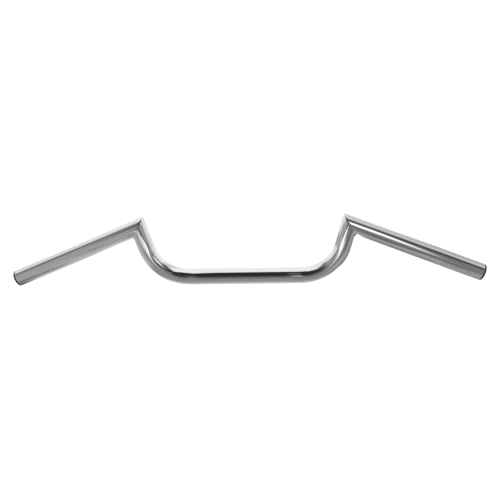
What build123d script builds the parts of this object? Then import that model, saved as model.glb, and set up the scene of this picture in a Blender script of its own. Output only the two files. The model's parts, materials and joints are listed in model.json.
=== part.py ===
from build123d import *
from math import cos, radians, sin
import os

# One-piece steel M-bar handlebar for a motorcycle: bent centre tube, two mitred grip tubes, welds, end plugs.
# Millimetres. The whole bar lies in the XZ plane, +X to the side and +Z up.
# The origin is the middle of the straight clamping length, on the tube's axis.

os.makedirs("parts", exist_ok=True)

# --- driving dimensions -------------------------------------------------------------------------
tube_diameter = 25.4  # 1 in handlebar tube
tube_wall = 2.4
tip_width = 698.5  # 27.5 in between the middles of the two open ends
clamp_straight = 170.0  # straight length in the middle
bend_radius = 63.5  # centreline radius, 2.5 tube diameters
bend_angle = 75.0  # how far each bend turns the tube upwards
riser_straight = 36.0  # from the bend to the corner, along the axis
grip_drop = 22.5  # how far each grip tube slopes below the horizontal

weld_root_gap = 1.0  # between the two mitred ends
weld_preparation = 1.4  # chamfer on each mitred end, filled by the weld
weld_reach = 2.6  # half the length of bar that the weld can occupy
dressing_depth = 0.2  # the corner is ground and polished flush, just under the tube's size
dressing_margin = 4.0  # dressed length beyond the inside of the corner
dressing_run_out = 3.0  # length of the taper back to full size

end_chamfer = 0.5  # outer edge of each open end
bore_chamfer = 0.6  # inner edge of each open end

plug_flange_radius = 12.3
plug_flange_edge = 2.9  # thickness at the rim
plug_flange_crown = 0.9  # extra thickness in the middle
plug_edge_fillet = 0.7
plug_seat_gap = 0.05  # under the flange
plug_shank_length = 21.0
plug_shank_radius = 9.3
plug_shank_bore = 7.6
plug_web_position = 0.4  # inner face of the closed end, from the tube's end
plug_fin_clearance = 0.05  # radial, fin to tube bore
plug_fin_count = 4
plug_fin_pitch = 4.4
plug_first_fin = 4.6  # first fin's crest, from the underside of the flange
plug_fin_rise = 1.9  # sloping side, towards the inner end
plug_fin_land = 0.5  # flat crest

# --- derived dimensions -------------------------------------------------------------------------
outer_radius = tube_diameter / 2
bore_radius = outer_radius - tube_wall
dressed_radius = outer_radius - dressing_depth
fin_radius = bore_radius - plug_fin_clearance
crown_radius = (plug_flange_radius**2 + plug_flange_crown**2) / (2 * plug_flange_crown)

bend_centre = Vector(clamp_straight / 2, 0, bend_radius)
riser_direction = Vector(cos(radians(bend_angle)), 0, sin(radians(bend_angle)))
bend_end = bend_centre + Vector(sin(radians(bend_angle)), 0, -cos(radians(bend_angle))) * bend_radius
corner = bend_end + riser_direction * riser_straight

grip_direction = Vector(cos(radians(grip_drop)), 0, -sin(radians(grip_drop)))
grip_length = (tip_width / 2 - corner.X) / cos(radians(grip_drop))
grip_end = corner + grip_direction * grip_length

mitre_normal = (riser_direction + grip_direction).normalized()
half_turn = radians((bend_angle + grip_drop) / 2)
mitre_reach = outer_radius * sin(half_turn) / cos(half_turn)  # corner centre to the end of the long side
dressed_from_corner = mitre_reach + dressing_margin


def axis_plane(origin, direction):
    """A sketch plane whose X runs along the tube's axis and whose Y is a radius."""
    return Plane(origin=origin, x_dir=direction, z_dir=(0, 1, 0))


def mitre_plane(offset):
    """The plane of the welded joint, moved along its own normal."""
    return Plane(origin=corner + mitre_normal * offset, z_dir=mitre_normal)


def mitred_edges(builder):
    """The outer edges of the cut face at the corner."""
    cut_faces = builder.faces().filter_by(Axis(corner, mitre_normal))
    return cut_faces.sort_by_distance(corner)[0].outer_wire().edges()


def shank_outline():
    """The plug's outline from the flange's rim, over the shank's fins, to the web under the flange."""
    points = [(plug_seat_gap, plug_flange_radius), (plug_seat_gap, plug_shank_radius)]
    for index in range(plug_fin_count):
        crest = -plug_first_fin - index * plug_fin_pitch
        points += [
            (crest, plug_shank_radius),
            (crest, fin_radius),
            (crest - plug_fin_land, fin_radius),
            (crest - plug_fin_land - plug_fin_rise, plug_shank_radius),
        ]
    points += [
        (-plug_shank_length, plug_shank_radius),
        (-plug_shank_length, plug_shank_bore),
        (plug_web_position, plug_shank_bore),
    ]
    return points


# Half sections of the two straight tubes that meet at the corner: (along the axis, radius).
# Each runs past the corner, to be cut off at the mitre.
riser_section = [
    (0, bore_radius),
    (riser_straight + mitre_reach + weld_reach, bore_radius),
    (riser_straight + mitre_reach + weld_reach, dressed_radius),
    (riser_straight - dressed_from_corner, dressed_radius),
    (riser_straight - dressed_from_corner - dressing_run_out, outer_radius),
    (0, outer_radius),
]
grip_section = [
    (-mitre_reach - weld_reach, bore_radius),
    (grip_length - bore_chamfer, bore_radius),
    (grip_length, bore_radius + bore_chamfer),
    (grip_length, outer_radius - end_chamfer),
    (grip_length - end_chamfer, outer_radius),
    (dressed_from_corner + dressing_run_out, outer_radius),
    (dressed_from_corner, dressed_radius),
    (-mitre_reach - weld_reach, dressed_radius),
]

# --- centre tube: straight, two bends, two risers, cut on both mitres -----------------------------
with BuildPart() as half_centre:
    with BuildSketch(Plane.YZ):
        Circle(outer_radius)
        Circle(bore_radius, mode=Mode.SUBTRACT)
    extrude(amount=clamp_straight / 2)
    with BuildSketch(Plane.YZ.offset(clamp_straight / 2)):
        Circle(outer_radius)
        Circle(bore_radius, mode=Mode.SUBTRACT)
    revolve(axis=Axis(bend_centre, (0, -1, 0)), revolution_arc=bend_angle)
    with BuildSketch(axis_plane(bend_end, riser_direction)):
        Polygon(*riser_section, align=None)
    revolve(axis=Axis(bend_end, riser_direction))
    split(bisect_by=mitre_plane(-weld_root_gap / 2), keep=Keep.BOTTOM)
    chamfer(mitred_edges(half_centre), weld_preparation)

with BuildPart() as centre_tube:
    add(half_centre.part)
    mirror(about=Plane.YZ)
centre_tube.part.label = "centre_tube"
export_step(centre_tube.part, "parts/centre_tube.step")

# --- grip tubes: straight, mitred at the corner, open and chamfered at the outer end --------------
with BuildPart() as right_grip_tube:
    with BuildSketch(axis_plane(corner, grip_direction)):
        Polygon(*grip_section, align=None)
    revolve(axis=Axis(corner, grip_direction))
    split(bisect_by=mitre_plane(weld_root_gap / 2), keep=Keep.TOP)
    chamfer(mitred_edges(right_grip_tube), weld_preparation)
right_grip_tube.part.label = "right_grip_tube"
export_step(right_grip_tube.part, "parts/right_grip_tube.step")

with BuildPart() as left_grip_tube:
    mirror(right_grip_tube.part, about=Plane.YZ)
left_grip_tube.part.label = "left_grip_tube"
export_step(left_grip_tube.part, "parts/left_grip_tube.step")

# --- mitre welds: they fill the root gap and both preparations, flush with the dressed tubes -------
with BuildPart() as riser_side_of_weld:
    with BuildSketch(axis_plane(bend_end, riser_direction)):
        Polygon(*riser_section, align=None)
    revolve(axis=Axis(bend_end, riser_direction))
    split(bisect_by=mitre_plane(-weld_reach), keep=Keep.TOP)
    split(bisect_by=mitre_plane(0), keep=Keep.BOTTOM)

with BuildPart() as grip_side_of_weld:
    with BuildSketch(axis_plane(corner, grip_direction)):
        Polygon(*grip_section, align=None)
    revolve(axis=Axis(corner, grip_direction))
    split(bisect_by=mitre_plane(0), keep=Keep.TOP)
    split(bisect_by=mitre_plane(weld_reach), keep=Keep.BOTTOM)

with BuildPart() as right_mitre_weld:
    add(riser_side_of_weld.part)
    add(grip_side_of_weld.part)
    add(half_centre.part, mode=Mode.SUBTRACT)
    add(right_grip_tube.part, mode=Mode.SUBTRACT)
right_mitre_weld.part.label = "right_mitre_weld"
export_step(right_mitre_weld.part, "parts/right_mitre_weld.step")

with BuildPart() as left_mitre_weld:
    mirror(right_mitre_weld.part, about=Plane.YZ)
left_mitre_weld.part.label = "left_mitre_weld"
export_step(left_mitre_weld.part, "parts/left_mitre_weld.step")

# --- end plugs: domed flange over the tube's end, hollow finned shank in its bore -----------------
with BuildPart() as right_end_plug:
    with BuildSketch(axis_plane(grip_end, grip_direction)):
        with BuildLine():
            crown = (plug_seat_gap + plug_flange_edge + plug_flange_crown, 0)
            rim = (plug_seat_gap + plug_flange_edge, plug_flange_radius)
            RadiusArc(crown, rim, crown_radius)
            Polyline(rim, *shank_outline(), (plug_web_position, 0), crown)
        section = make_face()
        fillet(section.vertices().sort_by_distance(Vector(*rim))[0], plug_edge_fillet)
    revolve(axis=Axis(grip_end, grip_direction))
right_end_plug.part.label = "right_end_plug"
export_step(right_end_plug.part, "parts/right_end_plug.step")

with BuildPart() as left_end_plug:
    mirror(right_end_plug.part, about=Plane.YZ)
left_end_plug.part.label = "left_end_plug"
export_step(left_end_plug.part, "parts/left_end_plug.step")

print("corner", corner, "open end", grip_end, "grip tube length", grip_length)
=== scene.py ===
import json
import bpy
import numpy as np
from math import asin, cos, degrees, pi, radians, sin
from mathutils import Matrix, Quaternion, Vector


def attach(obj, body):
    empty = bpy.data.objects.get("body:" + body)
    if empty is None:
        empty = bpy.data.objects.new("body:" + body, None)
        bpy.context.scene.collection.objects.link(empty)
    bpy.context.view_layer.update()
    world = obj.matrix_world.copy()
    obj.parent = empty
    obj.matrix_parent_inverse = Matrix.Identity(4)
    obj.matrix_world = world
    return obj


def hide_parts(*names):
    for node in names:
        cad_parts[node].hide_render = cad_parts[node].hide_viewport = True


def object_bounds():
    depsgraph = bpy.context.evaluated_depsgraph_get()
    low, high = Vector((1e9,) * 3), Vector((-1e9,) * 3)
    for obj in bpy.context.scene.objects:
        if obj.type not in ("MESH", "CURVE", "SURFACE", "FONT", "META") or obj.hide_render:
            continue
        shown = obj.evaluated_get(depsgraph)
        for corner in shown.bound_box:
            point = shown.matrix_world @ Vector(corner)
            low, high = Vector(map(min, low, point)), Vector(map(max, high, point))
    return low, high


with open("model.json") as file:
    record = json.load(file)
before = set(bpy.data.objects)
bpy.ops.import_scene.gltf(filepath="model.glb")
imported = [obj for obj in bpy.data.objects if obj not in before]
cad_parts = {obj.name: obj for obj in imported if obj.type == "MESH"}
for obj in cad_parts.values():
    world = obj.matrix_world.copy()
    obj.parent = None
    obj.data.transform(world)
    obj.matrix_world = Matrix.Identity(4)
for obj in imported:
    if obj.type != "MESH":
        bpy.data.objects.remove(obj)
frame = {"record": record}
cad_low, cad_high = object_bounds()

# A chromed steel M-bar handlebar for a motorcycle: one bent centre tube, two straight grip tubes mitred and
# welded to its risers, and a black plug in each open end. Metres, in the CAD frame: +X to the side, +Z up,
# the origin in the middle of the straight clamping length.
#
# Every tube, weld and plug is one closed mesh made of rings of points. A "strip" is an array of rings,
# (ring, point, xyz), that is smooth within itself; two strips meet at a sharp edge.

MM = 0.001

# --- the bar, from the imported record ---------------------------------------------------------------
mounts = {mount["name"]: mount for mount in frame["record"]["mounts"]}
clamp = mounts["centre_clamp"]
seat = mounts["right_grip_seat"]

OUTER_RADIUS = clamp["dims"]["r_mm"] * MM
HALF_STRAIGHT = clamp["dims"]["length_mm"] * MM / 2
GRIP = np.array(seat["axis"])
END_ROUND = 0.5 * MM  # rounded outer edge of each open end; the grip seat stops at its start
GRIP_END = np.array(seat["pos_m"]) + GRIP * END_ROUND

# --- the bar's bends and tube, as the CAD has them, apart from the fade ----------------------------------
BEND_RADIUS = 63.5 * MM
BEND_ANGLE = radians(75)
BEND_FADE = 24.0 * MM  # the curvature grows and fades over this length at each end of the bend
WALL = 2.4 * MM
BORE_RADIUS = OUTER_RADIUS - WALL
BORE_ROUND = 0.6 * MM
ROOT_GAP = 1.0 * MM

# --- the ground and polished corners ------------------------------------------------------------------
# how far the rounding reaches along each tube, on the corner's outer side and in its crotch
APEX_BLEND = {"left": 3.2 * MM, "right": 2.0 * MM}
CROTCH_BLEND = 4.5 * MM

# --- the end plugs --------------------------------------------------------------------------------------
FLANGE_RADIUS = 12.3 * MM
FLANGE_EDGE = 2.8 * MM
FLANGE_CROWN = 0.9 * MM
FLANGE_FILLET = 0.7 * MM
SEAT_GAP = 0.05 * MM
SEAT_ROUND = 0.15 * MM
GATE_RADIUS = 1.6 * MM  # the dimple that hides the mould's gate
GATE_DEPTH = 0.25 * MM
SHANK_RADIUS = 9.3 * MM
SHANK_BORE = 7.6 * MM
HUB_RADIUS = 0.76 * MM  # where the web's flat ring gives way to a fan of triangles
SHANK_LENGTH = 21.0 * MM
WEB_POSITION = 0.4 * MM
FIN_RADIUS = BORE_RADIUS - 0.05 * MM
FIN_COUNT = 4
FIRST_FIN = 4.6 * MM
FIN_PITCH = 4.4 * MM
FIN_LAND = 0.5 * MM
FIN_RISE = 1.9 * MM

AROUND = 192  # points in each ring
BEND_RINGS = 72
BEND_STEPS = 40  # steps of the sum between one ring of the bend and the next
BLEND_RINGS = 20
EDGE_RINGS = 8
DOME_RINGS = 40
DOME_START = 0.04  # the dome's first ring stands this share of the way out from the middle

angles = np.arange(AROUND) * 2 * pi / AROUND
ACROSS = np.array([0.0, 1.0, 0.0])
MIRROR = np.array([-1.0, 1.0, 1.0])


# --- rings ----------------------------------------------------------------------------------------------
def radial(direction):
    """Unit vectors round a tube that runs along direction. Point 0 is on the upper side."""
    upper = np.cross(direction, ACROSS)
    return np.cos(angles)[:, None] * upper + np.sin(angles)[:, None] * ACROSS


def ring(centre, direction, radius):
    return centre + radius * radial(direction)


RISER = np.array([cos(BEND_ANGLE), 0.0, sin(BEND_ANGLE)])
BEND_END = np.array([HALF_STRAIGHT + BEND_RADIUS * sin(BEND_ANGLE), 0.0, BEND_RADIUS * (1 - cos(BEND_ANGLE))])


def meeting_point(start, direction, other_start, other_direction):
    """Where two lines of the XZ plane cross."""
    sides = np.array([direction[[0, 2]], -other_direction[[0, 2]]]).T
    along = np.linalg.solve(sides, (other_start - start)[[0, 2]])[0]
    return start + along * direction


CORNER = meeting_point(BEND_END, RISER, GRIP_END, GRIP)
MITRE = (RISER + GRIP) / np.linalg.norm(RISER + GRIP)


def crease(radius):
    """The ring where the riser's surface of that radius meets the grip tube's."""
    spokes = radius * radial(RISER)
    return CORNER + spokes - RISER * ((spokes @ MITRE) / (RISER @ MITRE))[:, None]


def blend_reach(side):
    """How far the corner's rounding runs along each tube, at each point round the ring."""
    apex = APEX_BLEND[side]
    return (apex + (CROTCH_BLEND - apex) * (1 - np.cos(angles)) / 2)[:, None]


def bend_path():
    """Points and directions along the right-hand bend, which fades into the straights on either side.

    It ends on the CAD riser's own line, and turns through the same angle as the CAD's plain arc.
    """
    reach = BEND_RADIUS * BEND_ANGLE + BEND_FADE
    steps = np.linspace(0, reach, BEND_STEPS * BEND_RINGS + 1)
    rise = np.clip(np.minimum(steps, reach - steps) / BEND_FADE, 0, 1)
    curvature = rise**2 * (3 - 2 * rise) / BEND_RADIUS

    def summed(values):
        return np.concatenate([[0.0], np.cumsum((values[1:] + values[:-1]) / 2 * np.diff(steps))])

    turn = summed(curvature)
    along = np.stack([np.cos(turn), 0 * turn, np.sin(turn)], axis=1)
    path = np.stack([summed(along[:, 0]), 0 * turn, summed(along[:, 2])], axis=1)
    path[:, 0] += np.cross(path[-1] - BEND_END, RISER)[1] / RISER[2]  # puts its end on the riser's line
    return path[::BEND_STEPS], along[::BEND_STEPS]


def bend_rings(radius):
    """From the middle of the bar, round the right-hand bend, to the start of the riser."""
    rings = [ring(np.zeros(3), np.array([1.0, 0.0, 0.0]), radius)]
    rings += [ring(point, along, radius) for point, along in zip(*bend_path())]
    return rings


def mirrored(strips):
    """The same closed surface on the other side of the bar."""
    return [strip[::-1] * MIRROR for strip in reversed(strips)]


# --- meshes ---------------------------------------------------------------------------------------------
def strip_normals(strip):
    along = np.gradient(strip, axis=0, edge_order=2 if len(strip) > 2 else 1)
    around = np.roll(strip, -1, axis=1) - np.roll(strip, 1, axis=1)
    normals = np.cross(along, around)
    return normals / np.linalg.norm(normals, axis=2, keepdims=True)


def surface(name, strips, strip_materials, materials, body, replaced, poles=None):
    """A closed mesh from strips, each beginning on the ring where the last one ends.

    Without poles the last strip ends on the first ring. With poles, (first, last) points on the axis, the
    two open ends are closed by fans.
    """
    kept = [strip[:-1] for strip in strips]
    if poles:
        kept[-1] = strips[-1]
    points = np.concatenate(kept)
    total = len(points)
    first_of = np.cumsum([0] + [len(strip) - 1 for strip in strips[:-1]]).tolist()
    faces, face_materials, corner_normals = [], [], []

    def index(ring_number, point_number):
        return (ring_number % total) * AROUND + point_number % AROUND

    for strip, first, material in zip(strips, first_of, strip_materials):
        normals = strip_normals(strip)
        for row in range(len(strip) - 1):
            for column in range(AROUND):
                after = (column + 1) % AROUND
                faces.append((
                    index(first + row, column),
                    index(first + row + 1, column),
                    index(first + row + 1, after),
                    index(first + row, after),
                ))
                corner_normals += [
                    normals[row, column],
                    normals[row + 1, column],
                    normals[row + 1, after],
                    normals[row, after],
                ]
                face_materials.append(material)

    # where each point is on the tube: distance along it, and its place on the section
    middles = points.mean(axis=1)
    steps = np.linalg.norm(np.diff(middles, axis=0), axis=1)
    along = np.concatenate([[0.0], np.cumsum(steps)])
    radii = np.linalg.norm(points - middles[:, None], axis=2)
    places = np.stack([
        np.repeat(along[:, None], AROUND, axis=1),
        radii * np.cos(angles),
        radii * np.sin(angles),
    ], axis=2).reshape(-1, 3)
    points = points.reshape(-1, 3)

    if poles:
        points = np.concatenate([points, np.array(poles)])
        places = np.concatenate([places, [[along[0], 0, 0], [along[-1], 0, 0]]])
        for pole, ring_number, material in ((0, 0, strip_materials[0]), (1, total - 1, strip_materials[-1])):
            tip = total * AROUND + pole
            rim_normals = strip_normals(strips[0])[0] if pole == 0 else strip_normals(strips[-1])[-1]
            tip_normal = rim_normals.mean(axis=0)
            tip_normal /= np.linalg.norm(tip_normal)
            for column in range(AROUND):
                here, after = index(ring_number, column), index(ring_number, column + 1)
                faces.append((tip, here, after) if pole == 0 else (here, tip, after))
                spread = [rim_normals[column], rim_normals[(column + 1) % AROUND]]
                if pole == 0:
                    corner_normals += [tip_normal, spread[0], spread[1]]
                else:
                    corner_normals += [spread[0], tip_normal, spread[1]]
                face_materials.append(material)

    mesh = bpy.data.meshes.new(name)
    mesh.from_pydata(points.tolist(), [], faces)
    mesh.polygons.foreach_set("use_smooth", [True] * len(faces))
    mesh.polygons.foreach_set("material_index", face_materials)
    place = mesh.attributes.new("tube_place", "FLOAT_VECTOR", "POINT")
    place.data.foreach_set("vector", places.astype(np.float32).ravel())
    mesh.normals_split_custom_set([tuple(normal) for normal in corner_normals])
    mesh.update()
    for material in materials:
        mesh.materials.append(material)
    piece = bpy.data.objects.new(name, mesh)
    bpy.context.scene.collection.objects.link(piece)
    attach(piece, body)
    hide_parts(replaced)
    return piece


# --- node helpers ---------------------------------------------------------------------------------------
def node(tree, kind, inputs=None, **settings):
    """A new node. Each input is a value or another node's output socket."""
    made = tree.nodes.new(kind)
    for key, value in settings.items():
        setattr(made, key, value)
    for key, value in (inputs or {}).items():
        if isinstance(value, bpy.types.NodeSocket):
            tree.links.new(value, made.inputs[key])
        else:
            made.inputs[key].default_value = value
    return made


def maths(tree, operation, first, second=0.0):
    return node(tree, "ShaderNodeMath", {0: first, 1: second}, operation=operation).outputs[0]


def ramp(tree, value, low, high, start=0.0, end=1.0):
    """Turns value from low to high smoothly into start to end."""
    inputs = {"Value": value, "From Min": low, "From Max": high, "To Min": start, "To Max": end}
    return node(tree, "ShaderNodeMapRange", inputs, interpolation_type="SMOOTHSTEP").outputs[0]


def window(tree, value, low, high, soft):
    """1 between low and high, 0 outside, with edges that soft wide."""
    rise = ramp(tree, value, low - soft / 2, low + soft / 2)
    fall = ramp(tree, value, high - soft / 2, high + soft / 2, 1.0, 0.0)
    return maths(tree, "MULTIPLY", rise, fall)


def mix_colour(tree, share, below, above):
    made = tree.nodes.new("ShaderNodeMix")
    made.data_type = "RGBA"
    sockets = {"Factor": made.inputs[0], "A": made.inputs[6], "B": made.inputs[7]}
    for key, value in (("Factor", share), ("A", below), ("B", above)):
        if isinstance(value, bpy.types.NodeSocket):
            tree.links.new(value, sockets[key])
        elif key == "Factor":
            sockets[key].default_value = value
        else:
            sockets[key].default_value = (*value, 1.0)
    return made.outputs[2]


def noise(tree, place, scale, detail=2.0, roughness=0.5, stretch=(1.0, 1.0, 1.0)):
    squeezed = node(tree, "ShaderNodeMapping", {"Vector": place, "Scale": stretch}).outputs[0]
    inputs = {"Vector": squeezed, "Scale": scale, "Detail": detail, "Roughness": roughness}
    return node(tree, "ShaderNodeTexNoise", inputs).outputs["Fac"]


def bump(tree, height, distance, under=None):
    inputs = {"Height": height, "Distance": distance, "Strength": 1.0}
    if under is not None:
        inputs["Normal"] = under
    return node(tree, "ShaderNodeBump", inputs).outputs[0]


def new_material(name):
    material = bpy.data.materials.new(name)
    material.use_nodes = True
    return material, material.node_tree, material.node_tree.nodes["Principled BSDF"]


# --- materials ------------------------------------------------------------------------------------------
# linear colours
CHROME_WARM, CHROME_COOL = (0.572, 0.573, 0.566), (0.55, 0.557, 0.555)
STEEL_DARK, STEEL_LIGHT, STEEL_STAIN = (0.20, 0.195, 0.19), (0.33, 0.325, 0.32), (0.16, 0.095, 0.06)
PLASTIC_DARK, PLASTIC_LIGHT = (0.010, 0.010, 0.011), (0.020, 0.020, 0.021)
PLASTIC_SCUFF = (0.045, 0.045, 0.045)
# heights of the bumps
PEEL_HEIGHT = 0.004 * MM
WELD_RIPPLE_HEIGHT = 0.03 * MM
LINE_HEIGHT = 0.0004 * MM
DRAWN_HEIGHT = 0.02 * MM
GRAIN_HEIGHT = 0.012 * MM
FLOW_HEIGHT = 0.03 * MM


def chrome(name, ripple):
    """Mirror chrome over polished steel: faint polishing lines along the tube, a soft orange peel, and
    smudges that dull it slightly. ripple is how much of the ground weld shows through."""
    material, tree, shader = new_material(name)
    place = node(tree, "ShaderNodeAttribute", attribute_name="tube_place").outputs["Vector"]
    peel = noise(tree, place, 120, detail=1.0, stretch=(0.5, 1.0, 1.0))
    lines = noise(tree, place, 1500, detail=3.0, stretch=(0.02, 1.0, 1.0))
    smudges = noise(tree, place, 45, detail=4.0, roughness=0.6)
    tint = noise(tree, place, 14, detail=2.0)
    surface_normal = bump(tree, peel, PEEL_HEIGHT + WELD_RIPPLE_HEIGHT * ripple)
    surface_normal = bump(tree, lines, LINE_HEIGHT, surface_normal)
    colour = mix_colour(tree, tint, CHROME_COOL, CHROME_WARM)
    tree.links.new(colour, shader.inputs["Base Color"])
    tree.links.new(ramp(tree, smudges, 0.45, 0.75, 0.02, 0.06), shader.inputs["Roughness"])
    tree.links.new(surface_normal, shader.inputs["Normal"])
    shader.inputs["Metallic"].default_value = 1.0
    return material


def bore_steel():
    """The unplated inside of the tube: drawn steel, dull, with brown stains."""
    material, tree, shader = new_material("bore_steel")
    place = node(tree, "ShaderNodeAttribute", attribute_name="tube_place").outputs["Vector"]
    drawn = noise(tree, place, 900, detail=3.0, stretch=(0.05, 1.0, 1.0))
    stains = noise(tree, place, 160, detail=5.0, roughness=0.65)
    patches = ramp(tree, stains, 0.52, 0.68)
    colour = mix_colour(tree, drawn, STEEL_DARK, STEEL_LIGHT)
    colour = mix_colour(tree, patches, colour, STEEL_STAIN)
    tree.links.new(colour, shader.inputs["Base Color"])
    tree.links.new(ramp(tree, patches, 0.0, 1.0, 0.42, 0.8), shader.inputs["Roughness"])
    tree.links.new(ramp(tree, patches, 0.0, 1.0, 0.9, 0.2), shader.inputs["Metallic"])
    tree.links.new(bump(tree, drawn, DRAWN_HEIGHT), shader.inputs["Normal"])
    return material


def plug_plastic():
    """Black moulded polyethylene, satin, with a fine grain."""
    material, tree, shader = new_material("plug_plastic")
    place = node(tree, "ShaderNodeTexCoord").outputs["Object"]
    grain = noise(tree, place, 2600, detail=2.0)
    flow = noise(tree, place, 220, detail=3.0)
    scuffs = ramp(tree, noise(tree, place, 700, detail=5.0, roughness=0.7), 0.6, 0.75)
    colour = mix_colour(tree, flow, PLASTIC_DARK, PLASTIC_LIGHT)
    colour = mix_colour(tree, scuffs, colour, PLASTIC_SCUFF)
    tree.links.new(colour, shader.inputs["Base Color"])
    tree.links.new(ramp(tree, flow, 0.3, 0.7, 0.46, 0.58), shader.inputs["Roughness"])
    shader.inputs["Specular IOR Level"].default_value = 0.2
    surface_normal = bump(tree, flow, FLOW_HEIGHT, bump(tree, grain, GRAIN_HEIGHT))
    tree.links.new(surface_normal, shader.inputs["Normal"])
    return material


TUBE_CHROME = chrome("tube_chrome", 0.0)
WELD_CHROME = chrome("weld_chrome", 0.5)
BORE_STEEL = bore_steel()
PLUG_PLASTIC = plug_plastic()


# --- the centre tube ------------------------------------------------------------------------------------
def quarter_turn(count):
    return np.linspace(0, pi / 2, count)


def centre_tube():
    skin = {}
    for side in ("left", "right"):
        skin[side] = np.array(bend_rings(OUTER_RADIUS) + [crease(OUTER_RADIUS) - RISER * blend_reach(side)])
    bore = np.array(bend_rings(BORE_RADIUS) + [crease(BORE_RADIUS) - RISER * ROOT_GAP / 2])
    outer = np.concatenate([skin["left"][:0:-1] * MIRROR, skin["right"]])
    inner = np.concatenate([bore[:0:-1] * MIRROR, bore])[::-1]
    strips = [outer, np.array([outer[-1], inner[0]]), inner, np.array([inner[-1], outer[0]])]
    surface("bar_centre_tube", strips, [0, 1, 1, 1], [TUBE_CHROME, BORE_STEEL], "bar",
            "centre_tube")


def grip_tube_strips(side):
    """Corner to open end outside, round the end's edges, and back along the bore."""
    start = crease(OUTER_RADIUS) + GRIP * blend_reach(side)
    edge = [
        ring(GRIP_END - GRIP * END_ROUND * (1 - sin(turn)), GRIP, OUTER_RADIUS - END_ROUND * (1 - cos(turn)))
        for turn in quarter_turn(EDGE_RINGS)
    ]
    mouth = [
        ring(GRIP_END - GRIP * BORE_ROUND * (1 - cos(turn)), GRIP, BORE_RADIUS + BORE_ROUND * (1 - sin(turn)))
        for turn in quarter_turn(EDGE_RINGS)
    ]
    bore_start = crease(BORE_RADIUS) + GRIP * ROOT_GAP / 2
    skin = np.array([start] + edge)
    face = np.array([edge[-1], mouth[0]])
    bore = np.array(mouth + [bore_start])
    return [skin, face, bore, np.array([bore_start, start])]


def weld_strips(side):
    """The rounded corner outside, and the short stretch of bore under it."""
    reach = blend_reach(side)
    tip = crease(OUTER_RADIUS)
    start, end = tip - RISER * reach, tip + GRIP * reach
    outer = np.array([
        (1 - share) ** 2 * start + 2 * share * (1 - share) * tip + share**2 * end
        for share in np.linspace(0, 1, BLEND_RINGS)
    ])
    root = crease(BORE_RADIUS)
    inner = np.array([root + GRIP * ROOT_GAP / 2, root, root - RISER * ROOT_GAP / 2])
    return [outer, np.array([outer[-1], inner[0]]), inner, np.array([inner[-1], outer[0]])]


def on_side(side, strips):
    return strips if side == "right" else mirrored(strips)


def grip_tube(side):
    strips = on_side(side, grip_tube_strips(side))
    kinds = [0, 0, 1, 1] if side == "right" else [1, 1, 0, 0]
    surface(f"bar_{side}_grip_tube", strips, kinds, [TUBE_CHROME, BORE_STEEL], "bar",
            f"{side}_grip_tube")


def corner_weld(side):
    strips = on_side(side, weld_strips(side))
    kinds = [0, 1, 1, 1] if side == "right" else [1, 1, 1, 0]
    surface(f"bar_{side}_corner_weld", strips, kinds, [WELD_CHROME, BORE_STEEL], "bar",
            f"{side}_mitre_weld")


# --- the end plugs --------------------------------------------------------------------------------------
def plug_outlines():
    """Smooth runs of (distance beyond the tube's end, radius), from the dome's middle to the web's."""
    crown_radius = (FLANGE_RADIUS**2 + FLANGE_CROWN**2) / (2 * FLANGE_CROWN)
    crown_centre = SEAT_GAP + FLANGE_EDGE + FLANGE_CROWN - crown_radius
    fillet_centre_radius = FLANGE_RADIUS - FLANGE_FILLET
    lean = asin(fillet_centre_radius / (crown_radius - FLANGE_FILLET))
    fillet_centre = crown_centre + (crown_radius - FLANGE_FILLET) * cos(lean)

    dome = []
    for share in np.linspace(DOME_START, 1, DOME_RINGS):
        radius = crown_radius * sin(lean * share)
        dip = GATE_DEPTH * 0.5 * (1 + cos(pi * min(1.0, radius / GATE_RADIUS)))
        dome.append((crown_centre + crown_radius * cos(lean * share) - dip, radius))
    for turn in np.linspace(lean, pi / 2, EDGE_RINGS * 2)[1:]:
        dome.append((
            fillet_centre + FLANGE_FILLET * cos(turn),
            fillet_centre_radius + FLANGE_FILLET * sin(turn),
        ))
    for turn in quarter_turn(EDGE_RINGS):
        dome.append((SEAT_GAP + SEAT_ROUND * (1 - sin(turn)), FLANGE_RADIUS - SEAT_ROUND * (1 - cos(turn))))

    corners = [dome[-1], (SEAT_GAP, SHANK_RADIUS)]
    for number in range(FIN_COUNT):
        crest = -FIRST_FIN - number * FIN_PITCH
        corners += [
            (crest, SHANK_RADIUS),
            (crest, FIN_RADIUS),
            (crest - FIN_LAND, FIN_RADIUS),
            (crest - FIN_LAND - FIN_RISE, SHANK_RADIUS),
        ]
    corners += [(-SHANK_LENGTH, SHANK_RADIUS), (-SHANK_LENGTH, SHANK_BORE)]
    corners += [(WEB_POSITION, SHANK_BORE), (WEB_POSITION, HUB_RADIUS)]
    return [dome] + [list(pair) for pair in zip(corners[:-1], corners[1:])]


def end_plug(side):
    outlines = plug_outlines()
    strips = [
        np.array([ring(GRIP_END + GRIP * distance, GRIP, radius) for distance, radius in outline])
        for outline in outlines
    ]
    # the outline runs inwards, so its rings are turned round to keep the mesh's faces outwards
    strips = [strip[:, ::-1] for strip in strips]
    dome_tip = GRIP_END + GRIP * outlines[0][0][0]
    web_tip = GRIP_END + GRIP * WEB_POSITION
    poles = (dome_tip, web_tip)
    if side == "left":
        strips, poles = mirrored(strips), (web_tip * MIRROR, dome_tip * MIRROR)
    surface(f"bar_{side}_end_plug", strips, [0] * len(strips), [PLUG_PLASTIC], f"{side}_plug",
            f"{side}_end_plug", poles=poles)


centre_tube()
for hand in ("left", "right"):
    grip_tube(hand)
    corner_weld(hand)
    end_plug(hand)

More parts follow.
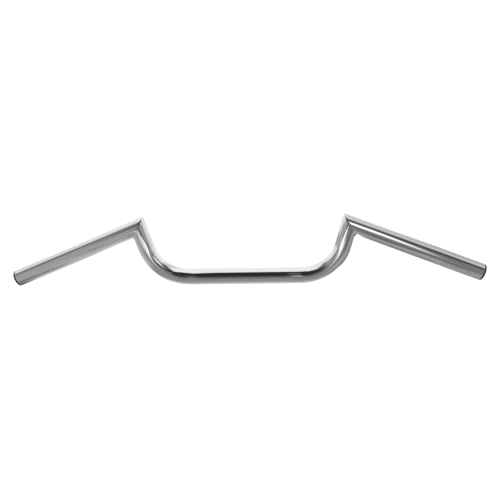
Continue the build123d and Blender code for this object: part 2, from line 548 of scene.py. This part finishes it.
# --- studio ---------------------------------------------------------------------------------------------
# What the chrome mirrors. The surroundings far away are zones of the world; nearer, there are upright cards
# in front of the bar and behind it, and the table top that it lies on. The camera sees none of them, and the
# chrome doesn't mirror the floor that the camera sees. Many of these sizes and brightnesses come from a
# scratch program's least-squares fit to the reference's reflections, rounded or changed by hand afterwards.
NEUTRAL = (1.0, 1.0, 1.0)
COOL = (0.96, 1.0, 1.03)
SLATE = (0.95, 1.01, 1.0)
WARM = (1.0, 0.985, 0.965)
ROSE = (1.0, 0.96, 0.95)
MAUVE = (1.0, 0.95, 0.99)
SURROUNDINGS = 1.47  # brightness of everything that has no zone, card or patch of its own

# azimuth from the front towards +X and elevation, both in degrees; softness of each; brightness; tint
ZONES = {
    "right_side": ((30, 160), (37, 58), (30, 12), 1.00, NEUTRAL),
    "left_side": ((-156, -52), (18, 60), (37, 20), 1.34, NEUTRAL),
    "front": ((-76, 79), (-95, 50), (16, 14), 0.56, NEUTRAL),
    "upper_left": ((-90, -28), (31, 43), (30, 10), 0.28, SLATE),
    "upper_middle": ((-45, 12), (34, 62), (25, 10), 0.12, SLATE),
    "upper_right": ((-20, 73), (31, 46.5), (16, 10), 0.09, SLATE),
}
# x and z in metres; softness of each; brightness; tint
WALL_CARDS = {
    "high_opening": ((-1.00, -0.30), (0.50, 1.15), (0.20, 0.20), 0.05, SLATE),
    "opening": ((-0.44, 0.42), (0.10, 3.15), (0.16, 0.30), 0.042, SLATE),
    "low_opening": ((-0.42, 0.45), (-0.17, 0.22), (0.30, 0.40), 0.17, SLATE),
    "right_grey": ((0.70, 1.80), (0.05, 0.75), (0.10, 0.35), 0.29, COOL),
    "right_lamp": ((0.06, 0.12), (0.00, 0.42), (0.04, 0.10), 0.62, NEUTRAL),
    "centre_lamp": ((0.045, 0.08), (0.80, 1.35), (0.03, 0.20), 0.25, NEUTRAL),
    "left_lamp": ((-0.27, -0.22), (-0.03, 0.06), (0.03, 0.04), 0.95, NEUTRAL),
}
SOFTBOX = {"softbox": ((0.285, 0.505), (0.103, 0.368), (0.05, 0.06), 1.75, NEUTRAL)}
GREY_CARD = {"grey_card": ((-0.26, -0.12), (0.05, 0.16), (0.04, 0.04), 0.30, SLATE)}
LOW_FLAG = {"low_flag": ((-0.30, 0.16), (-0.05, -0.005), (0.04, 0.003), 0.19, SLATE)}
REAR_CARDS = {
    "right_rear": ((0.30, 0.60), (0.0, 0.30), (0.12, 0.03), 0.72, NEUTRAL),
    "left_rear": ((-0.70, -0.385), (0.0, 0.28), (0.03, 0.04), 1.15, NEUTRAL),
}
STANDING = {  # how far in front of the bar each group stands; behind it if negative
    "wall_cards": (1.0, WALL_CARDS),
    "softbox": (0.5, SOFTBOX),
    "grey_card": (0.25, GREY_CARD),
    "low_flag": (0.15, LOW_FLAG),
    "rear_cards": (-0.08, REAR_CARDS),
}
TABLE_DEPTH = 0.8 * MM  # below the bar's lowest point
TABLE_FRONT = -0.46
TABLE_HALF = 1.2
# how brightly the table top glows where no patch lies: painted light standing in for a lit table top
TABLE_BRIGHTNESS = 1.25
# painted light and painted shadow on the glowing table top, among them the bar's own cast shadows;
# x and y in metres; softness of each; brightness; tint
TABLE_PAINTED_LIGHT_AND_SHADOW = {
    "far_right_behind": ((0.22, 0.60), (0.13, 0.34), (0.06, 0.06), 0.45, COOL),
    "far_left_behind": ((-0.60, -0.22), (0.13, 0.34), (0.06, 0.06), 0.45, COOL),
    "table": ((-1.10, 1.10), (-2.0, 0.04), (0.20, 0.10), 0.44, WARM),
    "left": ((-1.10, -0.26), (-2.0, 0.04), (0.06, 0.06), 0.60, WARM),
    "middle": ((-0.10, 0.12), (-2.0, -0.08), (0.08, 0.10), 0.20, SLATE),
    "right": ((0.10, 0.50), (-0.40, -0.060), (0.16, 0.05), 0.26, WARM),
    "right_soft": ((0.08, 0.17), (-0.26, -0.11), (0.05, 0.06), 0.50, WARM),
    "near_right": ((0.13, 0.30), (-0.078, -0.025), (0.04, 0.03), 0.60, ROSE),
    "under_right": ((0.15, 0.27), (-0.025, 0.07), (0.03, 0.03), 0.42, ROSE),
    "under_far_right": ((0.27, 0.45), (-0.035, 0.06), (0.03, 0.03), 0.53, ROSE),
    "near_left": ((-0.30, -0.17), (-0.085, -0.03), (0.04, 0.03), 0.70, ROSE),
    "under_left": ((-0.50, -0.17), (-0.032, 0.06), (0.03, 0.02), 0.85, ROSE),
    "end_shadow": ((-0.42, -0.33), (-0.02, 0.002), (0.04, 0.01), 0.26, MAUVE),
    "side_shadow": ((-0.37, -0.27), (-0.034, -0.016), (0.05, 0.01), 0.34, MAUVE),
    "under_middle": ((-0.13, 0.13), (-0.012, 0.03), (0.03, 0.02), 1.15, WARM),
    "behind_left": ((-0.22, -0.125), (0.0, 0.10), (0.03, 0.02), 1.15, NEUTRAL),
    "behind_right": ((0.085, 0.16), (-0.002, 0.20), (0.02, 0.012), 1.80, NEUTRAL),
    "bright_left": ((-0.21, -0.045), (-0.32, -0.155), (0.05, 0.03), 1.20, COOL),
    "bright_right": ((-0.07, 0.065), (-0.35, -0.195), (0.04, 0.025), 1.90, NEUTRAL),
    "grey_right": ((0.06, 0.13), (-0.23, -0.175), (0.02, 0.03), 1.50, COOL),
    "grey_left": ((-0.25, -0.20), (-0.215, -0.13), (0.03, 0.03), 0.95, COOL),
}


FLOOR_DROP = 0.32  # far enough below the bar for its shadow to be too soft to see
FLOOR_HALF = 6.0


def lit(brightness, tint):
    return tuple(brightness * part for part in tint)


def layered(tree, colour, first, second, layers, cover=None):
    """Lays each layer's colour over the last. Also returns how much of what is behind they hide."""
    for firsts, seconds, soft, brightness, tint in layers.values():
        share = maths(
            tree, "MULTIPLY",
            window(tree, first, *firsts, soft[0]),
            window(tree, second, *seconds, soft[1]),
        )
        colour = mix_colour(tree, share, colour, lit(brightness, tint))
        if cover is not None:
            cover = maths(tree, "MAXIMUM", cover, share)
    return colour, cover


def lit_world():
    world = bpy.data.worlds.new("studio")
    bpy.context.scene.world = world
    world.use_nodes = True
    tree = world.node_tree
    tree.nodes.clear()
    direction = node(tree, "ShaderNodeTexCoord").outputs["Generated"]
    parts = node(tree, "ShaderNodeSeparateXYZ", {0: direction}).outputs
    towards_front = maths(tree, "MULTIPLY", parts["Y"], -1.0)
    azimuth = maths(tree, "MULTIPLY", maths(tree, "ARCTAN2", parts["X"], towards_front), degrees(1))
    elevation = maths(tree, "MULTIPLY", maths(tree, "ARCSINE", parts["Z"]), degrees(1))
    colour, _ = layered(tree, lit(SURROUNDINGS, NEUTRAL), azimuth, elevation, ZONES)
    light = node(tree, "ShaderNodeBackground", {"Color": colour, "Strength": 1.0}).outputs[0]
    seen = node(tree, "ShaderNodeBackground", {"Color": (1, 1, 1, 1), "Strength": 1.0}).outputs[0]
    camera_ray = node(tree, "ShaderNodeLightPath").outputs["Is Camera Ray"]
    both = node(tree, "ShaderNodeMixShader", {0: camera_ray, 1: light, 2: seen}).outputs[0]
    node(tree, "ShaderNodeOutputWorld", {"Surface": both})


def reflected_only(name, corners, axes, colour, layers, see_through):
    """A flat surface that only mirrors see: layers over a plain colour, or over what is behind it."""
    mesh = bpy.data.meshes.new(name)
    mesh.from_pydata(corners, [], [(0, 1, 2, 3)])
    material = bpy.data.materials.new(name)
    material.use_nodes = True
    tree = material.node_tree
    tree.nodes.clear()
    place = node(tree, "ShaderNodeTexCoord").outputs["Object"]
    parts = node(tree, "ShaderNodeSeparateXYZ", {0: place}).outputs
    first, second = parts[axes[0]], parts[axes[1]]
    colour, cover = layered(tree, colour, first, second, layers, 0.0 if see_through else None)
    surface_out = node(tree, "ShaderNodeEmission", {"Color": colour, "Strength": 1.0}).outputs[0]
    if see_through:
        clear = node(tree, "ShaderNodeBsdfTransparent").outputs[0]
        surface_out = node(tree, "ShaderNodeMixShader", {0: cover, 1: clear, 2: surface_out}).outputs[0]
    node(tree, "ShaderNodeOutputMaterial", {"Surface": surface_out})
    mesh.materials.append(material)
    made = bpy.data.objects.new(name, mesh)
    bpy.context.scene.collection.objects.link(made)
    made.visible_camera = False
    made.visible_diffuse = False
    made.visible_shadow = False


def upright(name, distance, cards):
    """Cards that stand that far in front of the bar, with nothing between them."""
    left = min(xs[0] - soft[0] for xs, zs, soft, brightness, tint in cards.values())
    right = max(xs[1] + soft[0] for xs, zs, soft, brightness, tint in cards.values())
    bottom = min(zs[0] - soft[1] for xs, zs, soft, brightness, tint in cards.values())
    top = max(zs[1] + soft[1] for xs, zs, soft, brightness, tint in cards.values())
    corners = [(x, -distance, z) for x, z in ((left, bottom), (right, bottom), (right, top), (left, top))]
    first_card = next(iter(cards.values()))
    reflected_only(name, corners, "XZ", lit(*first_card[3:]), cards, True)


# The table top is no lamp: it glows with painted light and painted shadow, seen only in the chrome.
def table():
    depth = cad_low.z - TABLE_DEPTH
    corners = [
        (-TABLE_HALF, TABLE_FRONT, depth),
        (TABLE_HALF, TABLE_FRONT, depth),
        (TABLE_HALF, TABLE_HALF, depth),
        (-TABLE_HALF, TABLE_HALF, depth),
    ]
    reflected_only("table", corners, "XY", lit(TABLE_BRIGHTNESS, NEUTRAL), TABLE_PAINTED_LIGHT_AND_SHADOW, False)


def floor():
    depth = cad_low.z - FLOOR_DROP
    half = FLOOR_HALF
    mesh = bpy.data.meshes.new("floor")
    corners = [(x, y, depth) for x, y in ((-half, -half), (half, -half), (half, half), (-half, half))]
    mesh.from_pydata(corners, [], [(0, 1, 2, 3)])
    material, tree, shader = new_material("floor")
    shader.inputs["Base Color"].default_value = (0.9, 0.9, 0.9, 1)
    shader.inputs["Roughness"].default_value = 0.9
    shader.inputs["Emission Color"].default_value = (1, 1, 1, 1)
    shader.inputs["Emission Strength"].default_value = 0.25
    mesh.materials.append(material)
    made = bpy.data.objects.new("floor", mesh)
    bpy.context.scene.collection.objects.link(made)
    made.visible_glossy = False


lit_world()
for stand, (stand_distance, stand_cards) in STANDING.items():
    upright(stand, stand_distance, stand_cards)
table()
floor()

# --- camera ---------------------------------------------------------------------------------------------
# These values come from a scratch program's fit to the reference's outline.
CAMERA_AIM = Vector((0.0088, 0.0, 0.0421))
CAMERA_AZIMUTH = radians(4.26)
CAMERA_ELEVATION = radians(22.97)
CAMERA_DISTANCE = 1.073
CAMERA_ROLL = radians(-2.54)
CAMERA_LENS = 51.9  # mm
CAMERA_SENSOR = 36  # mm

data = bpy.data.cameras.new("camera")
data.lens = CAMERA_LENS
data.sensor_width = CAMERA_SENSOR
camera = bpy.data.objects.new("camera", data)
bpy.context.scene.collection.objects.link(camera)
back = Vector((
    sin(CAMERA_AZIMUTH) * cos(CAMERA_ELEVATION),
    -cos(CAMERA_AZIMUTH) * cos(CAMERA_ELEVATION),
    sin(CAMERA_ELEVATION),
))
camera.location = CAMERA_AIM + back * CAMERA_DISTANCE
camera.rotation_mode = "QUATERNION"
camera.rotation_quaternion = (-back).to_track_quat("-Z", "Y") @ Quaternion((0, 0, 1), CAMERA_ROLL)
bpy.context.scene.camera = camera
bpy.context.scene.view_settings.view_transform = "Standard"
